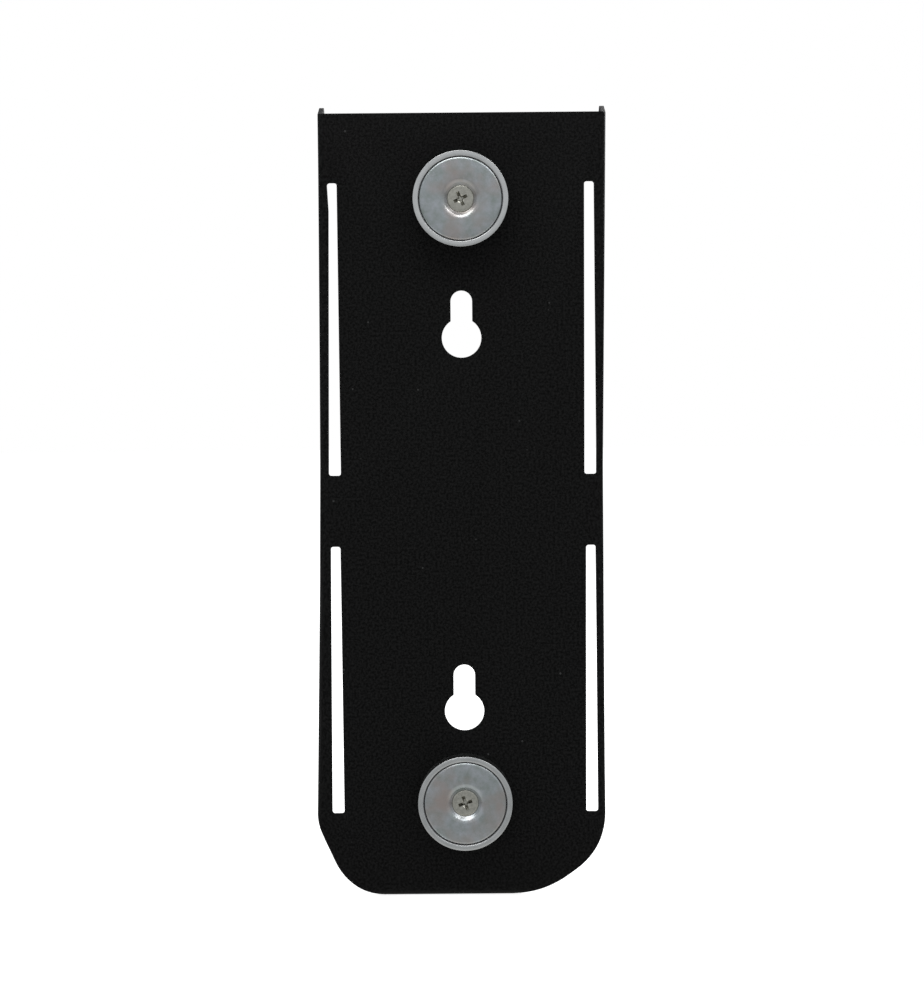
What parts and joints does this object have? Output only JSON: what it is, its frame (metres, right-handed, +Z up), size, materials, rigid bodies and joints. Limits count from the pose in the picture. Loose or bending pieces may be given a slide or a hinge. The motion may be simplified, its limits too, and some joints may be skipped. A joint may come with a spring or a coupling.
{
  "type": "magnetic wall tool holder",
  "caption": "Tall folded sheet-steel holder for salon tools, seen from its wall side, with pot magnets, keyholes and long slits along the side folds.",
  "frame": {"origin": "midway between the two keyholes' round centres, on the wall side of the back plate", "axes": "+X across the plate, +Y away from the wall towards the open front, +Z up"},
  "size_m": [0.0999, 0.03, 0.2695],
  "materials": {
    "black_powder_coat": "fine-textured matte powder coat",
    "zinc_plated_steel": "bright zinc plate",
    "nickel_plate": "satin nickel plate",
    "potting_resin": "cast resin",
    "screw_steel": "turned and plated",
    "fastener_zinc": "zinc plate"
  },
  "bodies": {
    "root": {"holder_shell": "black_powder_coat", "upper_magnet_cup": "zinc_plated_steel", "upper_magnet_ring": "nickel_plate", "upper_resin_ring": "potting_resin", "upper_screw": "screw_steel", "upper_washer": "fastener_zinc", "upper_nut": "fastener_zinc", "lower_magnet_cup": "zinc_plated_steel", "lower_magnet_ring": "nickel_plate", "lower_resin_ring": "potting_resin", "lower_screw": "screw_steel", "lower_washer": "fastener_zinc", "lower_nut": "fastener_zinc"}
  },
  "joints": []
}
